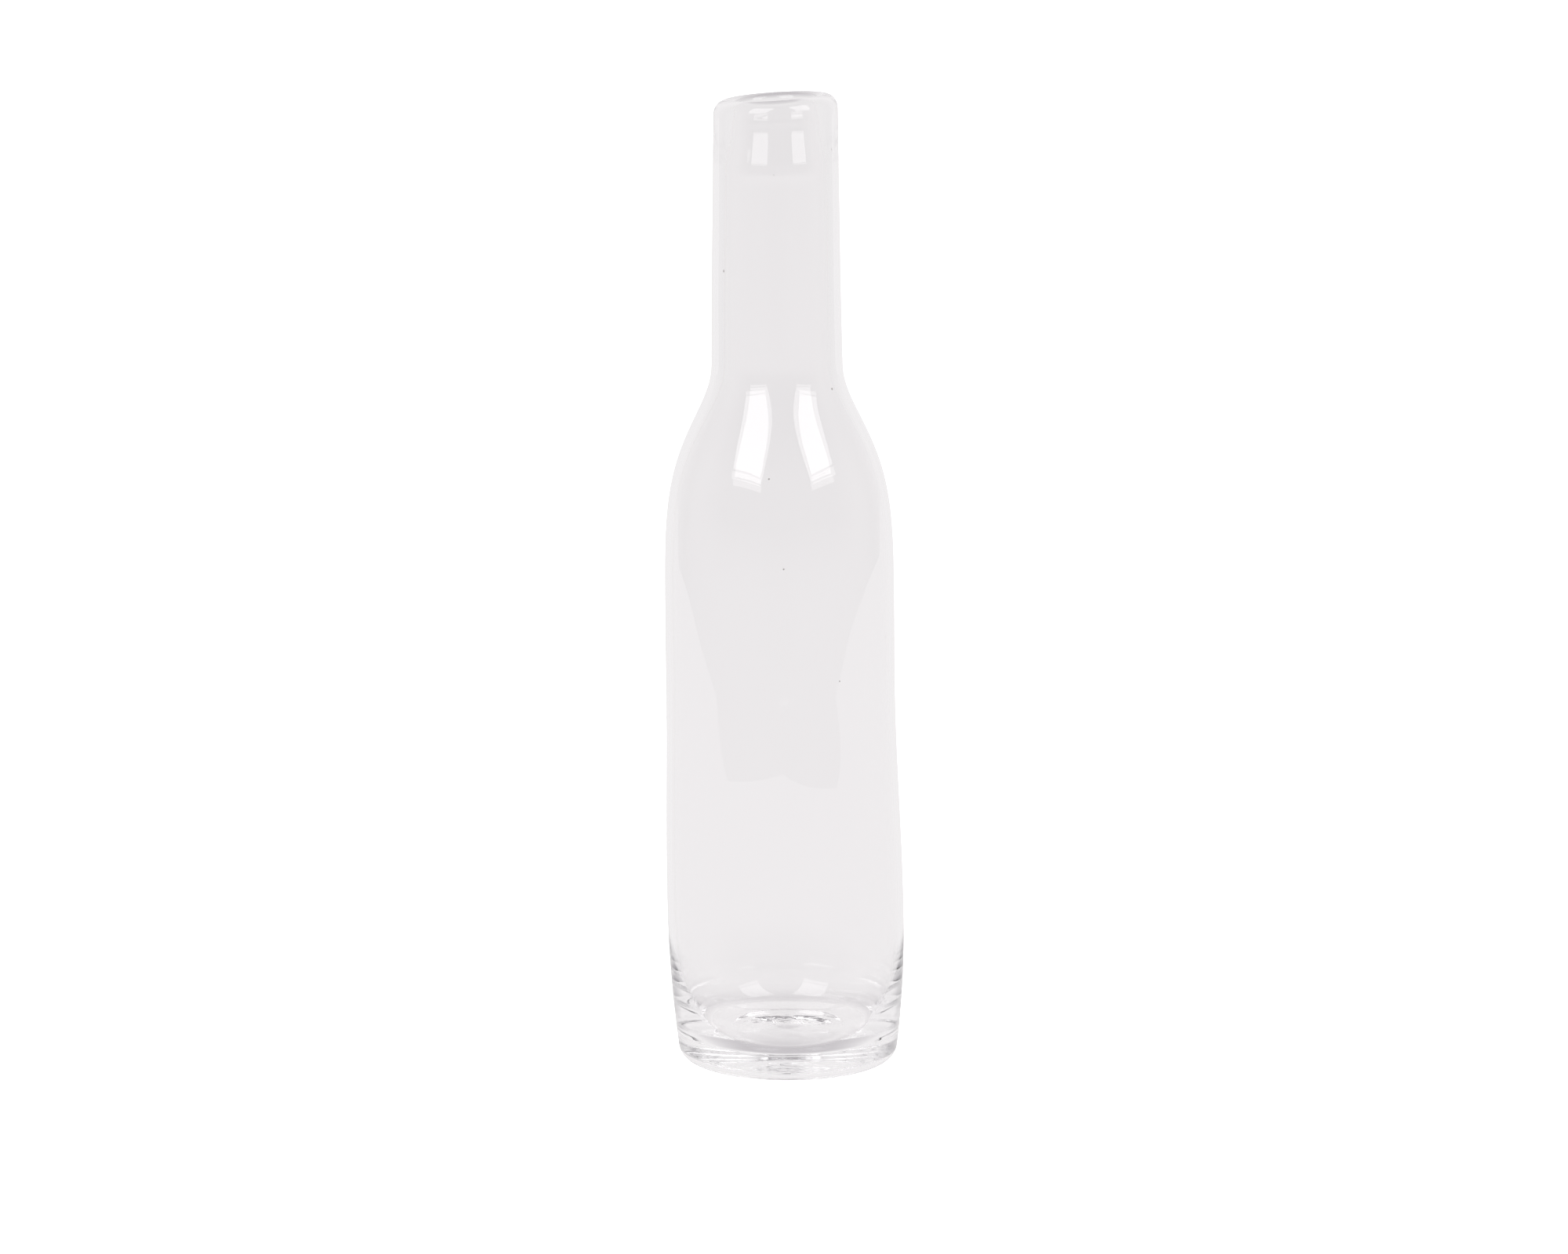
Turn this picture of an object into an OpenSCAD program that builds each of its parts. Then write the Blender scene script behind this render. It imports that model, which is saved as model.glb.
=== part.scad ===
// Mouth-blown clear glass bud vase: a slim bottle with a straight neck, a rounded
// shoulder, a nearly straight body and a thick solid foot, open at the mouth.
// Units are mm. +Z is up. The origin is on the table, in the middle of the vase's
// footprint box. The axis leans a little towards -X, as hand-made glass does, and the
// lip is lowest on the -X side.
// The glass is one continuous wall. It is drawn as five rings that meet face to face:
// base, body, shoulder, neck and rim.

/* [Heights] */
// top of the lip, measured along the axis of the vase
height = 241; // [215:1:290]
// height of the widest place, low on the body
belly_z = 38; // [32:1:60]
// height where the wall starts to bend in towards the neck
shoulder_start = 97; // [80:1:110]
// height where the shoulder has run out into the neck
shoulder_end = 177; // [165:1:195]

/* [Outside] */
// diameter at the widest place, low on the body
belly_d = 59; // [52:0.5:68]
// diameter of the straight part of the body above the belly
waist_d = 56.8; // [50:0.2:66]
// how far the wall draws in, on the radius, from the belly down to the foot
foot_taper = 2.6; // [0:0.1:4]
// diameter at the foot of the neck
neck_d = 32.3; // [27:0.1:38]
// diameter at the mouth
mouth_d = 30.3; // [27:0.1:38]
// fullness of the shoulder: higher values keep the body straight for longer
shoulder_fullness = 5.6; // [3:0.1:8]
// softness of the bend from the shoulder into the neck
shoulder_sweep = 2.6; // [1.5:0.1:4]
// how far in the rounded heel reaches from the wall
heel_w = 5.4; // [2:0.1:6]
// how far up the wall the rounded heel reaches
heel_h = 3.5; // [3:0.1:6]

/* [Glass] */
// wall thickness in the neck, where the glass is thickest
neck_wall = 3; // [2:0.1:4]
// wall thickness in the body, where the glass was blown out thin
body_wall = 1.6; // [1.2:0.1:3]
// thickness of the solid foot, from the table to the floor of the hollow
floor_t = 6.5; // [6:0.1:14]
// how far in the rounded corner of the hollow's floor reaches from the wall
corner_w = 6.5; // [5:0.5:12]
// how far up the wall the rounded corner of the hollow's floor reaches
corner_h = 25; // [8:1:28]
// rounding of the lip on its outer side
lip_outer_r = 4; // [2:0.1:4.5]
// rounding of the lip on its inner side
lip_inner_r = 1; // [0.5:0.1:1.4]

/* [Underside] */
// diameter of the hollow under the foot
punt_d = 30; // [24:1:38]
// depth of the hollow under the foot
punt_depth = 2; // [0.8:0.1:3]
// diameter of the polished pontil mark in the middle of the underside
pontil_d = 8; // [5:0.5:12]
// depth of the pontil mark
pontil_depth = 0.7; // [0.3:0.1:1]

/* [Stance] */
// angle the axis leans towards -X
lean = 0.7; // [0:0.1:1.2]
// angle of the lip, lowest on the -X side
lip_slant = 3; // [0:0.5:6]

/* [Hidden] */
$fn = 128;
// where body and shoulder meet; the body starts at the floor of the hollow
body_top = 118;
// height of the rim, from its joint with the neck to the top of the lip
rim_h = 20;
// height step along the curved walls
step = 2;
// steps round the corner of the hollow's floor, and round the heel
corner_steps = 18;
// glass ground off under the foot so that the leaning vase stands flat
ground_off = belly_d / 2 * sin(lean) + 0.1;
// where the axis meets the table: it passes over the origin at the belly
axis_x = belly_z * sin(lean);
mouth_r = mouth_d / 2;
// the box that cuts the neck off at the lip's slant
cutter = 4 * mouth_d;
glass = [0.86, 0.9, 0.91, 0.45];

// radius of the body outside, before the shoulder draws it in
function body_r(z) =
    z < belly_z
    ? belly_d / 2 - foot_taper * pow(1 - z / belly_z, 2)
    : waist_d / 2 + (belly_d - waist_d) / 4
        * (1 + cos(180 * min(1, (z - belly_z) / (shoulder_start - belly_z))));

// radius of the neck outside, a slow taper up to the mouth
function neck_r(z) =
    (neck_d + (mouth_d - neck_d)
        * max(0, (z - shoulder_end) / (height - shoulder_end))) / 2;

// share of the body's width left at a height: 1 in the body, 0 in the neck
function shoulder_share(z) =
    pow(1 - pow(min(1, max(0, (z - shoulder_start) / (shoulder_end - shoulder_start))),
        shoulder_fullness), shoulder_sweep);

function outer_r(z) = neck_r(z) + (body_r(z) - neck_r(z)) * shoulder_share(z);

function inner_r(z) =
    outer_r(z) - neck_wall + (neck_wall - body_wall) * shoulder_share(z);

// point on the rounded corner of the hollow's floor: 0 at the wall, 90 at the floor
function corner_point(a) =
    let (z = floor_t + corner_h * (1 - sin(a)))
    [inner_r(z) - corner_w * (1 - cos(a)), z];

// heights from z0 to z1 in even steps, both ends included
function heights(z0, z1) =
    let (n = ceil((z1 - z0) / step)) [for (i = [0:n]) z0 + (z1 - z0) * i / n];

// half section from the axis to the outside of the glass, between two heights
module outside_section(z0, z1) {
    polygon(concat([[0, z0]], [for (z = heights(z0, z1)) [outer_r(z), z]], [[0, z1]]));
}

// half section from the axis to the inside of the glass, between two heights
module inside_section(z0, z1) {
    polygon(concat([[0, z0]], [for (z = heights(z0, z1)) [inner_r(z), z]], [[0, z1]]));
}

// half section of the wall between two heights
module wall_section(z0, z1) {
    difference() {
        outside_section(z0, z1);
        inside_section(z0, z1);
    }
}

module leaning() translate([axis_x, 0, 0]) rotate([0, -lean, 0]) children();

// the place and angle of the lip at the top of the axis
module at_lip() translate([0, 0, height]) rotate([0, -lip_slant, 0]) children();

// radius of the rim inside, at a depth below the top of the lip
function mouth_in_r(depth) =
    let (top_r = mouth_r - lip_outer_r - lip_inner_r)
    top_r + (inner_r(height - rim_h) - top_r) * depth / rim_h;

// half section of the rim's straight part, which the slanted lip is cut from
module rim_wall_section() {
    polygon([
        [inner_r(height - rim_h), height - rim_h], [outer_r(height - rim_h), height - rim_h],
        [mouth_r, height], [mouth_in_r(0), height]
    ]);
}

// half section of the lip, rounded on both sides
module lip_section() {
    crest_r = mouth_r - lip_outer_r;
    polygon([
        [mouth_in_r(lip_outer_r), -lip_outer_r], [crest_r, -lip_outer_r],
        [crest_r, -lip_inner_r], [mouth_in_r(0), -lip_inner_r]
    ]);
    translate([crest_r, -lip_inner_r]) circle(r = lip_inner_r);
    intersection() {
        translate([crest_r, -lip_outer_r]) circle(r = lip_outer_r);
        translate([crest_r, -lip_outer_r]) square(lip_outer_r);
    }
}

// rim: the top of the tube, where the glass thickens inwards to the fire-polished lip
module rim() {
    color(glass)
        leaning() {
            difference() {
                rotate_extrude() rim_wall_section();
                at_lip() translate([-cutter / 2, -cutter / 2, -lip_outer_r]) cube(cutter);
            }
            at_lip() rotate_extrude() lip_section();
        }
}

// neck: the narrow straight tube between the shoulder and the rim
module neck() {
    color(glass) leaning() rotate_extrude() wall_section(shoulder_end, height - rim_h);
}

// shoulder: the rounded shoulder and the bend into the neck
module shoulder() {
    color(glass) leaning() rotate_extrude() wall_section(body_top, shoulder_end);
}

// half section of the hollow in the body, with the rounded corner of its floor
module hollow_section() {
    wall_zs = heights(floor_t + corner_h, body_top);
    polygon(concat(
        [[0, floor_t]], [for (a = [90:-90 / corner_steps:1]) corner_point(a)],
        [for (z = wall_zs) [inner_r(z), z]], [[0, body_top]]
    ));
}

// body: the nearly straight wall from the floor of the hollow up to the shoulder
module body() {
    color(glass)
        leaning() rotate_extrude() difference() {
            outside_section(floor_t, body_top);
            hollow_section();
        }
}

// point on the rounded heel: 0 at the wall, 90 under the foot
function heel_point(a) =
    let (z = heel_h * (1 - sin(a)) - ground_off)
    [outer_r(z) - heel_w * (1 - cos(a)), z];

// radius of the sphere that leaves a shallow dish of this width and depth
function dish_r(d, depth) = (d * d / 4 + depth * depth) / (2 * depth);

module dish(d, depth, top) {
    translate([0, 0, top - dish_r(d, depth)]) sphere(r = dish_r(d, depth), $fn = 512);
}

// half section of the solid foot, with the rounded heel
module foot_section() {
    wall_zs = heights(heel_h - ground_off, floor_t);
    polygon(concat(
        [[0, -ground_off]], [for (a = [90:-90 / corner_steps:1]) heel_point(a)],
        [for (z = wall_zs) [outer_r(z), z]], [[0, floor_t]]
    ));
}

// base: the solid foot under the hollow, with its heel, ground ring and underside
module base() {
    color(glass)
        difference() {
            leaning() rotate_extrude() foot_section();
            translate([-belly_d, -belly_d, -belly_d]) cube([2, 2, 1] * belly_d);
            translate([axis_x, 0, 0]) {
                dish(punt_d, punt_depth, punt_depth);
                dish(pontil_d, pontil_depth, punt_depth + pontil_depth);
            }
        }
}

rim();
neck();
shoulder();
body();
base();
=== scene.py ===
import math

import bpy
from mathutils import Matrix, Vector


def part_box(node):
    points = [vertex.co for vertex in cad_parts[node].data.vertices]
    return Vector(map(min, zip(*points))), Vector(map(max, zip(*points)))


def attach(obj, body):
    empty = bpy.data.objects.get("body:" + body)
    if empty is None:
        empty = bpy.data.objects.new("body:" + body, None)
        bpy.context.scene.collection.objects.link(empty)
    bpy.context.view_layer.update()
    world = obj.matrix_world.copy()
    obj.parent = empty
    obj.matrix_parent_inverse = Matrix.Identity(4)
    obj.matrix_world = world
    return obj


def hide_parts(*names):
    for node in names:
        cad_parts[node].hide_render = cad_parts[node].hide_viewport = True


# A clear, mouth-blown bud vase: one wall of glass from the hollow under its foot, round
# the heel, up the body, shoulder and neck, over the lip, and down inside to its floor.
# Lengths are in metres.

MM = 0.001

# the studio's colours, as linear light
WHITE = (1, 1, 1, 1)
BLACK = (0, 0, 0, 1)
TABLE_WHITE = (0.9, 0.9, 0.9, 1)
ROOM_LOW = (0.885, 0.872, 0.878, 1)
ROOM_MID = (0.72, 0.7, 0.71, 1)
ROOM_HIGH = (0.06, 0.05, 0.07, 1)
ROOM_DARK = (0.25, 0.25, 0.25, 1)
ROOM_UNDER = (0.58, 0.56, 0.58, 1)
ROOM_BEHIND = (0.22, 0.21, 0.23, 1)
# the room seen through the glass, from low to high along a line that leans towards the
# camera by the tilt below
ROOM_STOPS = ((0.38, ROOM_LOW), (0.58, ROOM_MID), (0.82, ROOM_HIGH))
DARK_TILT = math.radians(35)
# where its darker parts begin and end, as shares of a step up or away from the camera
BEHIND_UP = (-0.16, 0.10)
BEHIND_BACK = (0.1, -0.5)
UNDER_DOWN = (-0.45, -0.88)
# the room that reflections see, from the camera's side to the far side
REFLECTED_STOPS = ((0.35, ROOM_DARK), (0.75, ROOM_LOW))
# how far the table reaches from the vase, by angle away from the camera's direction
TABLE_EDGE = ((0, 0.53), (56, 0.5), (88, 0.68), (122, 0.95), (135, 6.0), (180, 6.0))
# and how much further on the right than on the left, to suit the vase's lean
TABLE_SKEW = 0.12
TABLE_SIDES = 60
TABLE_DROP = 0.3 * MM
FLOOR_REACH = 6.0
FLOOR_DROP = 0.2 * MM
# soft boxes: side, angle round from the camera, width
SOFT_BOXES = (("left", -38, 0.7), ("right", 54, 0.6))
# each is a tall box with a dimmer strip along its foot: angle up, height, glow
BOX_PARTS = (("box", 44.5, 0.80, 2.8), ("strip", 23.2, 0.08, 1.9))
BOX_DISTANCE = 1.2
BOX_AIM = (0, 0, 0.14)
CAMERA_PLACE = (-0.0006, -1.4408, 0.3730)
CAMERA_DIP = math.radians(10.365)
CAMERA_LENS = 135.93
CAMERA_SENSOR = 36.0
# a ray may cross the walls of the glass many times before it leaves
BOUNCES = 256

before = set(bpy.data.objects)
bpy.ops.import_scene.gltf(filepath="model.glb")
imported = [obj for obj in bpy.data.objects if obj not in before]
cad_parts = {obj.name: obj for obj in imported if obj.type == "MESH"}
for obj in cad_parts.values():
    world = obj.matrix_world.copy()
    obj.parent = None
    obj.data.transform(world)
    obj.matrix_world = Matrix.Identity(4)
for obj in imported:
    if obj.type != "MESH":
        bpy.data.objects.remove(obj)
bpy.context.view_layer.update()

# the glass
NECK_WALL = 3.0 * MM
BODY_WALL = 1.6 * MM
FLOOR_Z = 6.5 * MM
CORNER_W = 6.5 * MM
CORNER_H = 25.0 * MM
LIP_OUTER_ROUND = 3.4 * MM
LIP_INNER_ROUND = 1.8 * MM
RIM_H = 20.0 * MM
HEEL_W = 3.6 * MM
HEEL_H = 3.6 * MM
PUNT_RADIUS = 15.0 * MM
PUNT_DEPTH = 2.0 * MM
PONTIL_RADIUS = 4.0 * MM
PONTIL_DEPTH = 0.7 * MM
LEAN = math.radians(0.7)
LIP_SLANT = math.radians(3.6)
SLANT_REACH = 12.0 * MM

# the maker's hand: waves in the wall, and the hand-ground hollow of the foot
WAVINESS = 0.5 * MM
WAVE_PACE = (26.0, 26.0, 11.0)
WAVE_FADE = 25.0 * MM
FOOT_UNEVENNESS = 0.35 * MM
GRIND_PACE = (150.0, 260.0, 0.0)
HOLLOW_TOP = 4.0 * MM
CORD_PACE = (90.0, 90.0, 7.0)
CORD_DEPTH = 0.12 * MM
CORD_STRENGTH = 0.12

# seeds, the tiny bubbles and specks in the glass
SEED_PACE = 70.0
SEED_SIZE = 0.022
SEED_RARITY = 0.6
GLASS_TINT = (0.985, 0.98, 0.982, 1)
SEED_TINT = (0.3, 0.28, 0.27, 1)
GLASS_IOR = 1.5

# how finely the glass is drawn
SEGMENTS = 192
WALL_STEP = 1.4 * MM
FLOOR_STEP = 0.8 * MM
RING_STEP = 0.6 * MM
HOLLOW_STEP = 0.5 * MM
RIM_STEP = 0.4 * MM
HEEL_STEPS = 18
LIP_STEPS = 18
CORNER_STEPS = 30
WELD = 0.002 * MM

# the outline
BELLY_Z = 38.0 * MM
SHOULDER_START = 97.0 * MM
SHOULDER_END = 175.8 * MM
AXIS_TOP = 241.0 * MM
SHOULDER_FULLNESS = 5.75
SHOULDER_SWEEP = 2.6
FOOT_TAPER = 2.6 * MM

# wall thickness down the inside of the rim, by depth below the lip, in mm
RIM_WALL = ((0, 5.5), (2.0, 5.4), (4.8, 4.65), (7.4, 4.6), (15.7, 3.05), (18, 2.9), (20, 3.0))
RIM_EASE = 0.3

# how far the middle of the glass strays from its leaning axis, by height, in mm; the
# first and last knots only set the slope
STRAY = ((-22, 0.05), (0, 0.0), (22, -0.05), (46, -0.3), (70, -0.58), (95, -0.76),
         (120, -0.7), (150, -0.6), (190, -0.62), (216, -0.4), (241, -0.2), (266, 0.0))


def half_depth(node):
    """Half a node's size front to back, which the lean to the side doesn't change."""
    low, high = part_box(node)
    return (high.y - low.y) / 2


BELLY_R = half_depth("body")
WAIST_R = half_depth("shoulder")
NECK_R = half_depth("neck")
# the rim is widest at its joint with the neck, part of the way up the neck's taper
JOINT_SHARE = (AXIS_TOP - RIM_H - SHOULDER_END) / (AXIS_TOP - SHOULDER_END)
MOUTH_R = NECK_R - (NECK_R - half_depth("rim")) / JOINT_SHARE


def body_radius(z):
    """Outside radius of the body, before the shoulder draws it in."""
    if z < BELLY_Z:
        return BELLY_R - FOOT_TAPER * (1 - z / BELLY_Z) ** 2
    share = min(1.0, (z - BELLY_Z) / (SHOULDER_START - BELLY_Z))
    return WAIST_R + (BELLY_R - WAIST_R) * (1 + math.cos(math.pi * share)) / 2


def neck_radius(z):
    """Outside radius of the neck, a slow taper up to the mouth."""
    share = max(0.0, (z - SHOULDER_END) / (AXIS_TOP - SHOULDER_END))
    return NECK_R + (MOUTH_R - NECK_R) * share


def width_share(z):
    """Share of the body's width left at a height: 1 in the body, 0 in the neck."""
    share = min(1.0, max(0.0, (z - SHOULDER_START) / (SHOULDER_END - SHOULDER_START)))
    return (1 - share ** SHOULDER_FULLNESS) ** SHOULDER_SWEEP


def outer_radius(z):
    """Outside radius at a height, the body drawn in to the neck over the shoulder."""
    return neck_radius(z) + (body_radius(z) - neck_radius(z)) * width_share(z)


def inner_radius(z):
    """Inside radius of the wall, which is thin in the body and thick in the neck."""
    return outer_radius(z) - NECK_WALL + (NECK_WALL - BODY_WALL) * width_share(z)


def between(knots, at):
    """Value on a line through (place, value) knots."""
    for (a0, v0), (a1, v1) in zip(knots, knots[1:]):
        if at <= a1:
            return v0 + (v1 - v0) * max(0.0, (at - a0) / (a1 - a0))
    return knots[-1][1]


def curve_through(knots, at):
    """Value on a smooth curve through (place, value) knots, all but the outer two."""
    for (a0, v0), (a1, v1), (a2, v2), (a3, v3) in zip(knots, knots[1:], knots[2:], knots[3:]):
        if at <= a2:
            t = (at - a1) / (a2 - a1)
            slope1 = (v2 - v0) / (a2 - a0) * (a2 - a1)
            slope2 = (v3 - v1) / (a3 - a1) * (a2 - a1)
            return ((2 * t ** 3 - 3 * t ** 2 + 1) * v1 + (t ** 3 - 2 * t ** 2 + t) * slope1
                    + (3 * t ** 2 - 2 * t ** 3) * v2 + (t ** 3 - t ** 2) * slope2)
    return knots[-2][1]


def rim_wall(depth):
    """Wall thickness in the rim, with the corners between its slopes eased."""
    near = [between(RIM_WALL, depth / MM + RIM_EASE * k) for k in (-2, -1, 0, 1, 2)]
    return MM * sum(near) / len(near)


def dish(radius, depth, top, r):
    """Height of a shallow spherical dish under the foot, at a distance from its middle."""
    ball = (radius ** 2 + depth ** 2) / (2 * depth)
    return top - ball + math.sqrt(max(0.0, ball ** 2 - r ** 2))


def arc(centre_r, centre_z, radius, start, end, steps):
    """Points on an arc, angles in degrees, without its first point."""
    out = []
    for i in range(1, steps + 1):
        a = math.radians(start + (end - start) * i / steps)
        out.append((centre_r + radius * math.cos(a), centre_z + radius * math.sin(a)))
    return out


def spread(start, end, step):
    """Even steps from start to end, without the start."""
    n = max(1, math.ceil(abs(end - start) / step))
    return [start + (end - start) * i / n for i in range(1, n + 1)]


def underside():
    """From the middle of the underside out to the ground ring."""
    pts = []
    for r in [0.0] + spread(0.0, PUNT_RADIUS, HOLLOW_STEP):
        z = dish(PUNT_RADIUS, PUNT_DEPTH, PUNT_DEPTH, r)
        if r < PONTIL_RADIUS:
            z = max(z, dish(PONTIL_RADIUS, PONTIL_DEPTH, PUNT_DEPTH + PONTIL_DEPTH, r))
        pts.append((r, max(0.0, z)))
    return pts


def heel():
    """Round the heel, from the ground ring up to the wall."""
    pts = []
    for i in range(HEEL_STEPS + 1):
        a = math.radians(90 - 90 * i / HEEL_STEPS)
        z = HEEL_H * (1 - math.sin(a))
        pts.append((outer_radius(z) - HEEL_W * (1 - math.cos(a)), z))
    return pts


def lip():
    """Over the lip, which is rounder outside than inside."""
    crest_r = MOUTH_R - LIP_OUTER_ROUND
    return (arc(crest_r, AXIS_TOP - LIP_OUTER_ROUND, LIP_OUTER_ROUND, 0, 90, LIP_STEPS)
            + arc(crest_r, AXIS_TOP - LIP_INNER_ROUND, LIP_INNER_ROUND, 90, 180,
                  LIP_STEPS // 2))


def inside_wall():
    """Down the inside, from the lip to the top of the floor's rounded corner."""
    rim_foot = AXIS_TOP - RIM_H
    pts = [(outer_radius(z) - rim_wall(AXIS_TOP - z), z)
           for z in spread(AXIS_TOP - LIP_INNER_ROUND, rim_foot, RIM_STEP)]
    pts += [(inner_radius(z), z) for z in spread(rim_foot, FLOOR_Z + CORNER_H, WALL_STEP)]
    return pts


def hollow_floor():
    """Round the corner at the foot of the hollow, then in along its floor."""
    pts = []
    for i in range(1, CORNER_STEPS + 1):
        a = math.radians(90 * i / CORNER_STEPS)
        z = FLOOR_Z + CORNER_H * (1 - math.sin(a))
        pts.append((inner_radius(z) - CORNER_W * (1 - math.cos(a)), z))
    return pts + [(r, FLOOR_Z) for r in spread(pts[-1][0], 0.0, FLOOR_STEP)]


def wall_outline():
    """The whole section of the glass, from the underside's middle round to the floor's."""
    round_heel = heel()
    pts = underside()
    pts += [(r, 0.0) for r in spread(PUNT_RADIUS, round_heel[0][0], RING_STEP)]
    pts += round_heel[1:]
    pts += [(outer_radius(z), z)
            for z in spread(HEEL_H, AXIS_TOP - LIP_OUTER_ROUND, WALL_STEP)]
    return pts + lip() + inside_wall() + hollow_floor()


def middle(z):
    """Where the middle of the glass is at a height, left or right of the origin."""
    return (BELLY_Z - z) * math.sin(LEAN) + curve_through(STRAY, z / MM) * MM


def outline_curve(points):
    """The outline as a curve: x is the radius, y the middle's place aside, z the height."""
    data = bpy.data.curves.new("outline", "CURVE")
    data.dimensions = "3D"
    line = data.splines.new("POLY")
    line.points.add(len(points) - 1)
    for p, (r, z) in zip(line.points, points):
        p.co = (r, middle(z), z, 1.0)
    obj = bpy.data.objects.new("outline", data)
    bpy.context.scene.collection.objects.link(obj)
    return obj


def add_node(tree, kind, links=(), **settings):
    """A node with its settings, its inputs linked or set by name or number."""
    n = tree.nodes.new(kind)
    for key, value in settings.items():
        setattr(n, key, value)
    for key, value in dict(links).items():
        if isinstance(value, bpy.types.NodeSocket):
            tree.links.new(value, n.inputs[key])
        else:
            n.inputs[key].default_value = value
    return n


class Tree:
    """A short way to write a Geometry Nodes tree."""

    def __init__(self, name, inputs):
        self.group = bpy.data.node_groups.new(name, "GeometryNodeTree")
        face = self.group.interface
        face.new_socket("Geometry", in_out="INPUT", socket_type="NodeSocketGeometry")
        for label, kind, value in inputs:
            sock = face.new_socket(label, in_out="INPUT", socket_type=kind)
            if value is not None:
                sock.default_value = value
        face.new_socket("Geometry", in_out="OUTPUT", socket_type="NodeSocketGeometry")
        self.start = self.group.nodes.new("NodeGroupInput")
        self.end = self.group.nodes.new("NodeGroupOutput")

    def node(self, kind, links=(), **settings):
        """A node in this tree."""
        return add_node(self.group, kind, links, **settings)

    def math(self, op, a, b=0.0):
        """A sum on one or two numbers."""
        return self.node("ShaderNodeMath", {0: a, 1: b}, operation=op).outputs[0]

    def vector(self, x, y, z):
        """A place or a shift put together from its three parts."""
        return self.node("ShaderNodeCombineXYZ", {0: x, 1: y, 2: z}).outputs[0]

    def noise(self, place, pace, detail, roughness):
        """Smooth noise about zero, packed to a pace along each direction."""
        paced = self.node("ShaderNodeVectorMath", {0: place, 1: pace}, operation="MULTIPLY")
        made = self.node("ShaderNodeTexNoise", {
            "Vector": paced.outputs[0], "Scale": 1.0, "Detail": detail,
            "Roughness": roughness})
        return self.math("SUBTRACT", made.outputs[0], 0.5)

    def finish(self, geometry):
        """Ends the tree with real geometry in its material."""
        real = self.node("GeometryNodeRealizeInstances", {"Geometry": geometry})
        skin = self.node("GeometryNodeSetMaterial", {
            "Geometry": real.outputs[0], "Material": self.start.outputs["Material"]})
        self.group.links.new(skin.outputs[0], self.end.inputs[0])
        return self.group


def spun_wall(t, place):
    """A grid wrapped round the axis, each row of it at one point of the outline."""
    inp = t.start.outputs
    grid = t.node("GeometryNodeMeshGrid", {
        "Size X": 1.0, "Size Y": 1.0, "Vertices X": t.math("ADD", inp["Segments"], 1.0),
        "Vertices Y": inp["Outline points"]})
    across = t.node("ShaderNodeSeparateXYZ", {0: place}).outputs
    turn = t.math("MULTIPLY", t.math("ADD", across[0], 0.5), 2 * math.pi)
    last = t.math("SUBTRACT", inp["Outline points"], 1.0)
    row = t.math("ROUND", t.math("MULTIPLY", t.math("ADD", across[1], 0.5), last))
    picked = t.node("GeometryNodeSampleIndex", {
        "Geometry": inp["Geometry"], "Value": place, "Index": row},
        data_type="FLOAT_VECTOR", domain="POINT").outputs[0]
    radius, aside, height = t.node("ShaderNodeSeparateXYZ", {0: picked}).outputs[:3]
    x = t.math("ADD", aside, t.math("MULTIPLY", radius, t.math("COSINE", turn)))
    y = t.math("MULTIPLY", radius, t.math("SINE", turn))
    return t.node("GeometryNodeSetPosition", {
        "Geometry": grid.outputs["Mesh"], "Position": t.vector(x, y, height)}).outputs[0]


def waved(t, glass, place, here, flat):
    """The blower's hand: slow, shallow waves in the wall, none at the foot."""
    swing = t.noise(place, WAVE_PACE, 1.0, 0.4)
    lift = t.math("MINIMUM", t.math("MULTIPLY", here[2], 1 / WAVE_FADE), 1.0)
    size = t.math("MULTIPLY", t.math("MULTIPLY", swing, t.start.outputs["Waviness"]), lift)
    push = t.node("ShaderNodeVectorMath", {0: flat, "Scale": size}, operation="SCALE")
    return t.node("GeometryNodeSetPosition", {
        "Geometry": glass, "Offset": push.outputs[0]}).outputs[0]


def slanted(t, glass, here):
    """The slanted lip, blended out down the neck."""
    inp = t.start.outputs
    below = t.math("SUBTRACT", here[2], inp["Lip height"])
    near = t.math("MINIMUM", t.math("DIVIDE", below, inp["Slant reach"]), 0.0)
    tip = t.math("MULTIPLY", t.math("MULTIPLY", here[0], inp["Lip slant"]),
                 t.math("EXPONENT", near))
    return t.node("GeometryNodeSetPosition", {
        "Geometry": glass, "Offset": t.vector(0.0, 0.0, tip)}).outputs[0]


def ground_foot(t, glass, place, here, flat):
    """The underside's hollow, left uneven where the iron was and ground by hand."""
    chips = t.noise(place, GRIND_PACE, 2.0, 0.55)
    from_middle = t.node("ShaderNodeVectorMath", {0: flat}, operation="LENGTH")
    off_ground = t.math("MULTIPLY", t.math("LESS_THAN", here[2], HOLLOW_TOP),
                        t.math("MULTIPLY", here[2], 1 / MM))
    hollow = t.math("MULTIPLY", off_ground,
                    t.math("LESS_THAN", from_middle.outputs["Value"], PUNT_RADIUS))
    dip = t.math("MULTIPLY", t.math("MULTIPLY", chips, t.start.outputs["Foot unevenness"]),
                 hollow)
    return t.node("GeometryNodeSetPosition", {
        "Geometry": glass, "Offset": t.vector(0.0, 0.0, dip)}).outputs[0]


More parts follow.
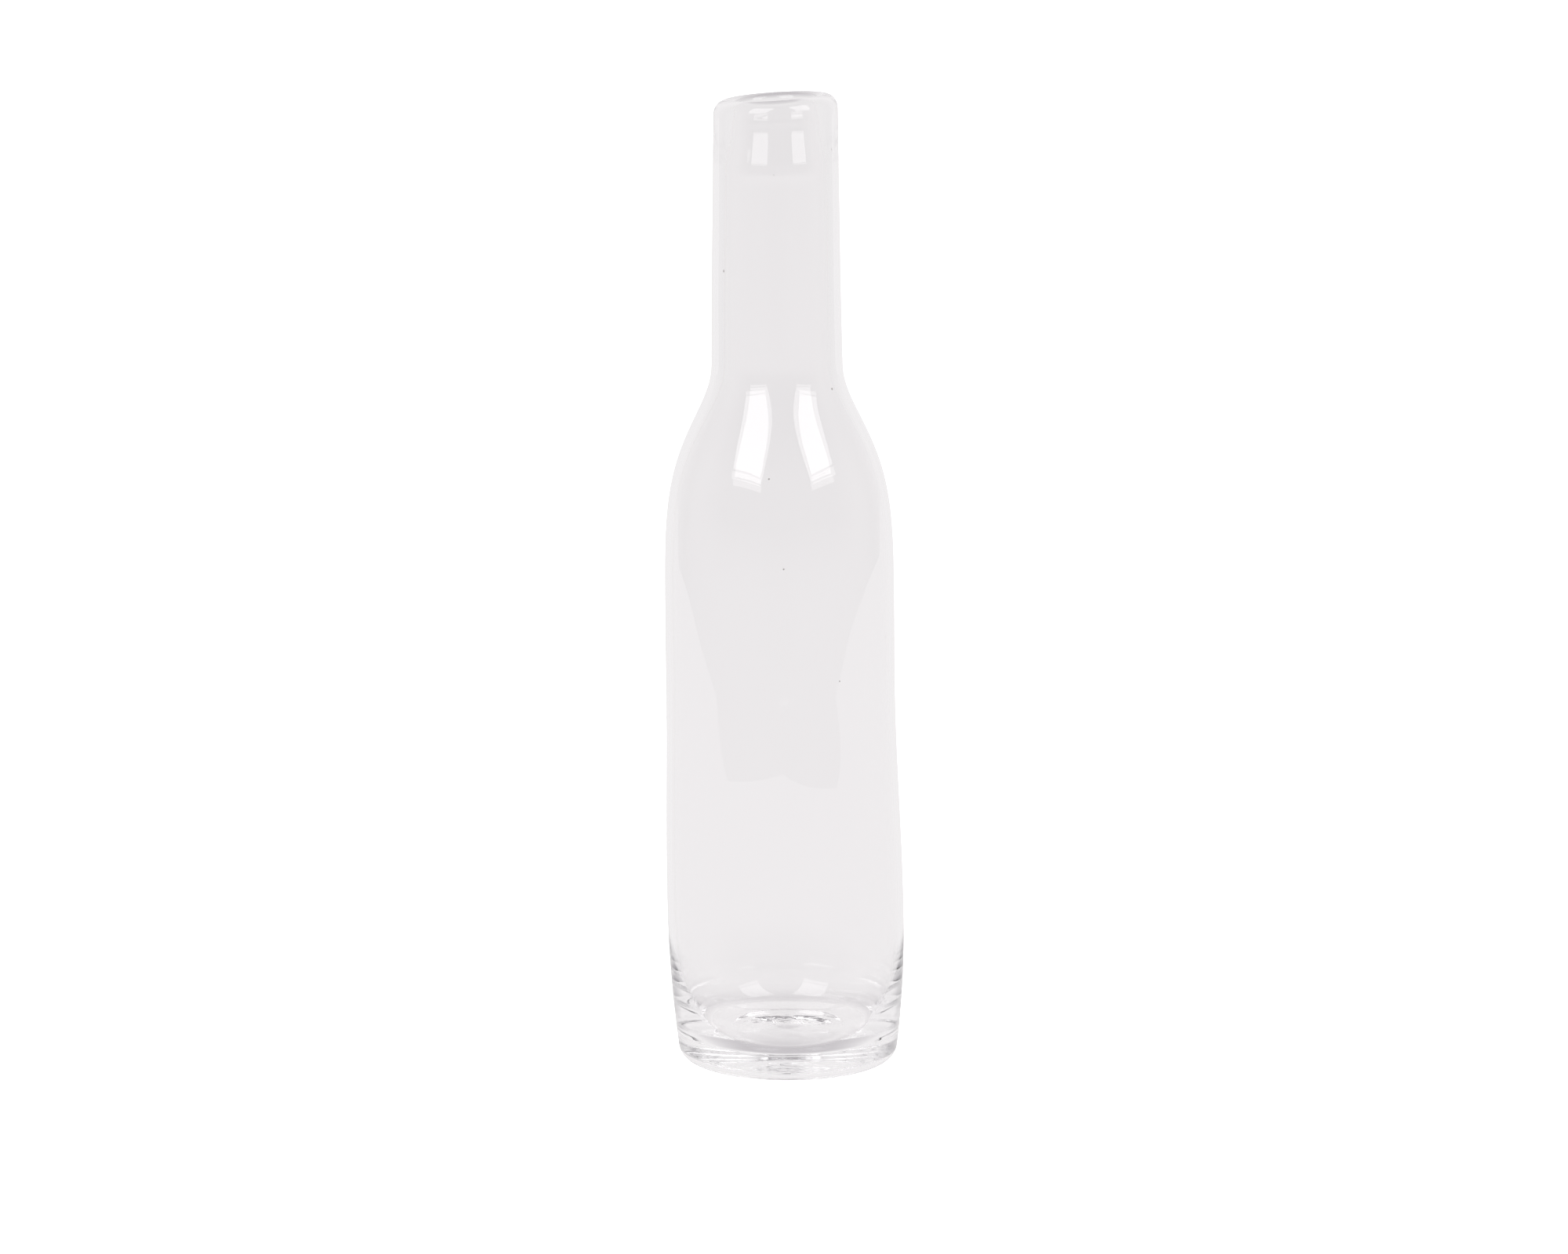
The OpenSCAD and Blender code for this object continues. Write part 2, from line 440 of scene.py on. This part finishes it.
def spun_glass_tree():
    """Turns an outline into a closed wall of glass that leans and has a slanted lip."""
    t = Tree("spun_glass", [
        ("Segments", "NodeSocketInt", SEGMENTS),
        ("Outline points", "NodeSocketInt", 2),
        ("Lip slant", "NodeSocketFloat", 0.0),
        ("Lip height", "NodeSocketFloat", AXIS_TOP),
        ("Slant reach", "NodeSocketFloat", SLANT_REACH),
        ("Waviness", "NodeSocketFloat", 0.0),
        ("Foot unevenness", "NodeSocketFloat", 0.0),
        ("Material", "NodeSocketMaterial", None)])
    place = t.node("GeometryNodeInputPosition").outputs[0]
    here = t.node("ShaderNodeSeparateXYZ", {0: place}).outputs
    flat = t.vector(here[0], here[1], 0.0)
    glass = spun_wall(t, place)
    glass = waved(t, glass, place, here, flat)
    glass = slanted(t, glass, here)
    glass = ground_foot(t, glass, place, here, flat)
    welded = t.node("GeometryNodeMergeByDistance", {"Geometry": glass, "Distance": WELD})
    smooth = t.node("GeometryNodeSetShadeSmooth", {"Geometry": welded.outputs[0]})
    return t.finish(smooth.outputs[0])


def set_inputs(modifier, values):
    """Sets a Geometry Nodes modifier's named inputs by their identifiers."""
    for item in modifier.node_group.interface.items_tree:
        if item.in_out == "INPUT" and item.name in values:
            modifier[item.identifier] = values[item.name]


def grown(obj, tree, values, name):
    """A plain mesh object from an object and its Geometry Nodes tree."""
    mod = obj.modifiers.new(name, "NODES")
    mod.node_group = tree
    set_inputs(mod, values)
    graph = bpy.context.evaluated_depsgraph_get()
    graph.update()
    mesh = bpy.data.meshes.new_from_object(obj.evaluated_get(graph), depsgraph=graph)
    mesh.name = name
    # one material slot only: the tree leaves an empty one before its own
    mesh.materials.clear()
    mesh.materials.append(values["Material"])
    mesh.polygons.foreach_set("material_index", [0] * len(mesh.polygons))
    bpy.data.objects.remove(obj)
    made = bpy.data.objects.new(name, mesh)
    bpy.context.scene.collection.objects.link(made)
    return made


def upright_cords(tree, where):
    """A faint bump that runs up the wall, as the cords in blown glass do."""
    stretch = add_node(tree, "ShaderNodeMapping", {"Vector": where, "Scale": CORD_PACE})
    cords = add_node(tree, "ShaderNodeTexNoise", {
        "Vector": stretch.outputs[0], "Scale": 1.0, "Detail": 2.0})
    bump = add_node(tree, "ShaderNodeBump", {
        "Height": cords.outputs[0], "Strength": CORD_STRENGTH, "Distance": CORD_DEPTH})
    return bump.outputs["Normal"]


def seeded_tint(tree, where):
    """Clear, but for a few seeds: tiny dark specks caught in the glass."""
    cells = add_node(tree, "ShaderNodeTexVoronoi", {"Vector": where, "Scale": SEED_PACE})
    tiny = add_node(tree, "ShaderNodeMath", {
        0: cells.outputs["Distance"], 1: SEED_SIZE}, operation="LESS_THAN")
    chance = add_node(tree, "ShaderNodeSeparateColor", {0: cells.outputs["Color"]})
    few = add_node(tree, "ShaderNodeMath", {
        0: chance.outputs[0], 1: SEED_RARITY}, operation="GREATER_THAN")
    speck = add_node(tree, "ShaderNodeMath", {
        0: tiny.outputs[0], 1: few.outputs[0]}, operation="MULTIPLY")
    tone = add_node(tree, "ShaderNodeMixRGB", {
        "Fac": speck.outputs[0], "Color1": GLASS_TINT, "Color2": SEED_TINT})
    return tone.outputs[0]


def clear_glass():
    """Clear glass with faint upright cords and a few seeds, as mouth-blown glass has."""
    mat = bpy.data.materials.new("clear_blown_glass")
    mat.use_nodes = True
    tree = mat.node_tree
    where = add_node(tree, "ShaderNodeTexCoord").outputs["Object"]
    shader = tree.nodes["Principled BSDF"]
    shader.inputs["Roughness"].default_value = 0.0
    shader.inputs["IOR"].default_value = GLASS_IOR
    shader.inputs["Transmission Weight"].default_value = 1.0
    tree.links.new(upright_cords(tree, where), shader.inputs["Normal"])
    tree.links.new(seeded_tint(tree, where), shader.inputs["Base Color"])
    return mat


def glass_vase():
    """The whole vase, one wall of glass that stands in for all five CAD stretches."""
    points = wall_outline()
    vase = grown(outline_curve(points), spun_glass_tree(), {
        "Segments": SEGMENTS, "Outline points": len(points),
        "Lip slant": math.tan(LIP_SLANT), "Lip height": AXIS_TOP,
        "Slant reach": SLANT_REACH, "Waviness": WAVINESS,
        "Foot unevenness": FOOT_UNEVENNESS, "Material": clear_glass()}, "glass_vase")
    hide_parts("rim", "neck", "shoulder", "body", "base")
    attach(vase, "root")


def glowing(name, surface, colour, shine=0.5, roughness=0.5):
    """A plain surface that also glows evenly in one colour."""
    mat = bpy.data.materials.new(name)
    mat.use_nodes = True
    shader = mat.node_tree.nodes["Principled BSDF"]
    shader.inputs["Base Color"].default_value = surface
    shader.inputs["Specular IOR Level"].default_value = shine
    shader.inputs["Roughness"].default_value = roughness
    shader.inputs["Emission Color"].default_value = colour
    shader.inputs["Emission Strength"].default_value = 1.0
    return mat


def staged(name, corners, faces, material, drop, hidden_from):
    """A flat piece of the studio, a little below the table top's height."""
    mesh = bpy.data.meshes.new(name)
    mesh.from_pydata(corners, [], faces)
    obj = bpy.data.objects.new(name, mesh)
    obj.data.materials.append(material)
    obj.location.z = -drop
    for rays in hidden_from:
        setattr(obj, "visible_" + rays, False)
    bpy.context.scene.collection.objects.link(obj)


def studio_floor():
    """A plain white table top that runs far past the frame."""
    far = FLOOR_REACH
    staged("studio_floor", [(-far, -far, 0), (far, -far, 0), (far, far, 0), (-far, far, 0)],
           [(0, 1, 2, 3)], glowing("white_table", TABLE_WHITE, WHITE, roughness=0.9),
           FLOOR_DROP, ("glossy", "transmission"))


def lit_table():
    """The lit table top as reflections see it, with the dark room beyond its edge."""
    verts = [(0.0, 0.0, 0.0)]
    for i in range(TABLE_SIDES):
        angle = -180 + 360 * i / TABLE_SIDES
        aside, ahead = math.sin(math.radians(angle)), math.cos(math.radians(angle))
        reach = between(TABLE_EDGE, abs(angle)) * (1 + TABLE_SKEW * aside)
        verts.append((reach * aside, -reach * ahead, 0.0))
    faces = [(0, i + 1, (i + 1) % TABLE_SIDES + 1) for i in range(TABLE_SIDES)]
    staged("lit_table", verts, faces, glowing("lit_table", BLACK, ROOM_LOW, shine=0.0),
           TABLE_DROP, ("camera", "diffuse", "transmission", "shadow"))


def graded(tree, value, stops):
    """A colour for each value, blended between (value, colour) stops."""
    ramp = add_node(tree, "ShaderNodeValToRGB", {0: value})
    first, last = ramp.color_ramp.elements
    (first.position, first.color), (last.position, last.color) = stops[0], stops[-1]
    for position, colour in stops[1:-1]:
        ramp.color_ramp.elements.new(position).color = colour
    return ramp.outputs[0]


def share(tree, value, ends):
    """A share that goes from 0 to 1 as a value goes from one end to the other."""
    return add_node(tree, "ShaderNodeMapRange", {
        "Value": value, "From Min": ends[0], "From Max": ends[1]}).outputs[0]


def blend(tree, amount, colour, other):
    """One colour turned into the other by an amount from 0 to 1."""
    return add_node(tree, "ShaderNodeMixRGB", {
        "Fac": amount, "Color1": colour, "Color2": other}).outputs[0]


def room_through_glass(tree, way, axes):
    """What is seen through the glass: pale low down, dark overhead and behind the camera."""
    lean = (0, -math.sin(DARK_TILT), math.cos(DARK_TILT))
    towards = add_node(tree, "ShaderNodeVectorMath", {0: way, 1: lean},
                       operation="DOT_PRODUCT")
    shade = graded(tree, towards.outputs["Value"], ROOM_STOPS)
    behind = add_node(tree, "ShaderNodeMath", {
        0: share(tree, axes["Z"], BEHIND_UP), 1: share(tree, axes["Y"], BEHIND_BACK)},
        operation="MULTIPLY")
    dimmed = blend(tree, behind.outputs[0], shade, ROOM_BEHIND)
    # and straight down, in the shade under the glass
    return blend(tree, share(tree, axes["Z"], UNDER_DOWN), dimmed, ROOM_UNDER)


def studio_world():
    """White where the camera sees it; for the glass, a soft grey room, darker overhead."""
    world = bpy.data.worlds.new("studio")
    bpy.context.scene.world = world
    world.use_nodes = True
    tree = world.node_tree
    tree.nodes.clear()
    ray = add_node(tree, "ShaderNodeLightPath").outputs
    way = add_node(tree, "ShaderNodeTexCoord").outputs["Generated"]
    axes = add_node(tree, "ShaderNodeSeparateXYZ", {0: way}).outputs
    room = add_node(tree, "ShaderNodeBackground", {
        "Color": room_through_glass(tree, way, axes)})
    # reflections see a dark room on the camera's side of the table
    facing = graded(tree, axes["Y"], REFLECTED_STOPS)
    dark = add_node(tree, "ShaderNodeBackground", {"Color": facing})
    # a ray that leaves the glass counts as glossy too, so those are taken out
    reflected = add_node(tree, "ShaderNodeMath", {
        0: ray["Is Glossy Ray"], 1: ray["Is Transmission Ray"]},
        operation="SUBTRACT", use_clamp=True)
    seen = add_node(tree, "ShaderNodeMixShader", {
        0: reflected.outputs[0], 1: room.outputs[0], 2: dark.outputs[0]})
    white = add_node(tree, "ShaderNodeBackground", {"Color": WHITE})
    mix = add_node(tree, "ShaderNodeMixShader", {
        0: ray["Is Camera Ray"], 1: seen.outputs[0], 2: white.outputs[0]})
    add_node(tree, "ShaderNodeOutputWorld", {0: mix.outputs[0]})


def camera():
    """A long lens that looks slightly down at the vase."""
    data = bpy.data.cameras.new("camera")
    cam = bpy.data.objects.new("camera", data)
    data.sensor_width = CAMERA_SENSOR
    data.lens = CAMERA_LENS
    cam.location = CAMERA_PLACE
    cam.rotation_euler = (math.radians(90) - CAMERA_DIP, 0.0, 0.0)
    bpy.context.scene.collection.objects.link(cam)
    bpy.context.scene.camera = cam


def soft_light(name, place, aim, width, height, power):
    """A flat lamp that faces the place it is aimed at."""
    data = bpy.data.lights.new(name, "AREA")
    data.shape = "RECTANGLE"
    data.size, data.size_y = width, height
    data.energy = power
    lamp = bpy.data.objects.new(name, data)
    lamp.location = place
    lamp.rotation_euler = (Vector(aim) - Vector(place)).to_track_quat("-Z", "Y").to_euler()
    bpy.context.scene.collection.objects.link(lamp)


def around(azimuth, elevation, distance, middle_z):
    """A place seen from the vase: azimuth 0 is towards the camera, positive to the right."""
    a, e = math.radians(azimuth), math.radians(elevation)
    return (distance * math.cos(e) * math.sin(a), -distance * math.cos(e) * math.cos(a),
            middle_z + distance * math.sin(e))


def soft_boxes():
    """Two tall soft boxes beside the camera, each with a dimmer strip along its foot."""
    for side, azimuth, width in SOFT_BOXES:
        for part, elevation, height, glow in BOX_PARTS:
            place = around(azimuth, elevation, BOX_DISTANCE, BOX_AIM[2])
            power = glow * math.pi * width * height
            soft_light("soft_%s_%s" % (part, side), place, BOX_AIM, width, height, power)


def light_paths():
    """Plain colours, and enough bounces for light to get out of the glass."""
    scene = bpy.context.scene
    scene.view_settings.view_transform = "Standard"
    scene.cycles.max_bounces = BOUNCES
    scene.cycles.transmission_bounces = BOUNCES
    scene.cycles.glossy_bounces = BOUNCES


glass_vase()
studio_floor()
studio_world()
lit_table()
soft_boxes()
camera()
light_paths()
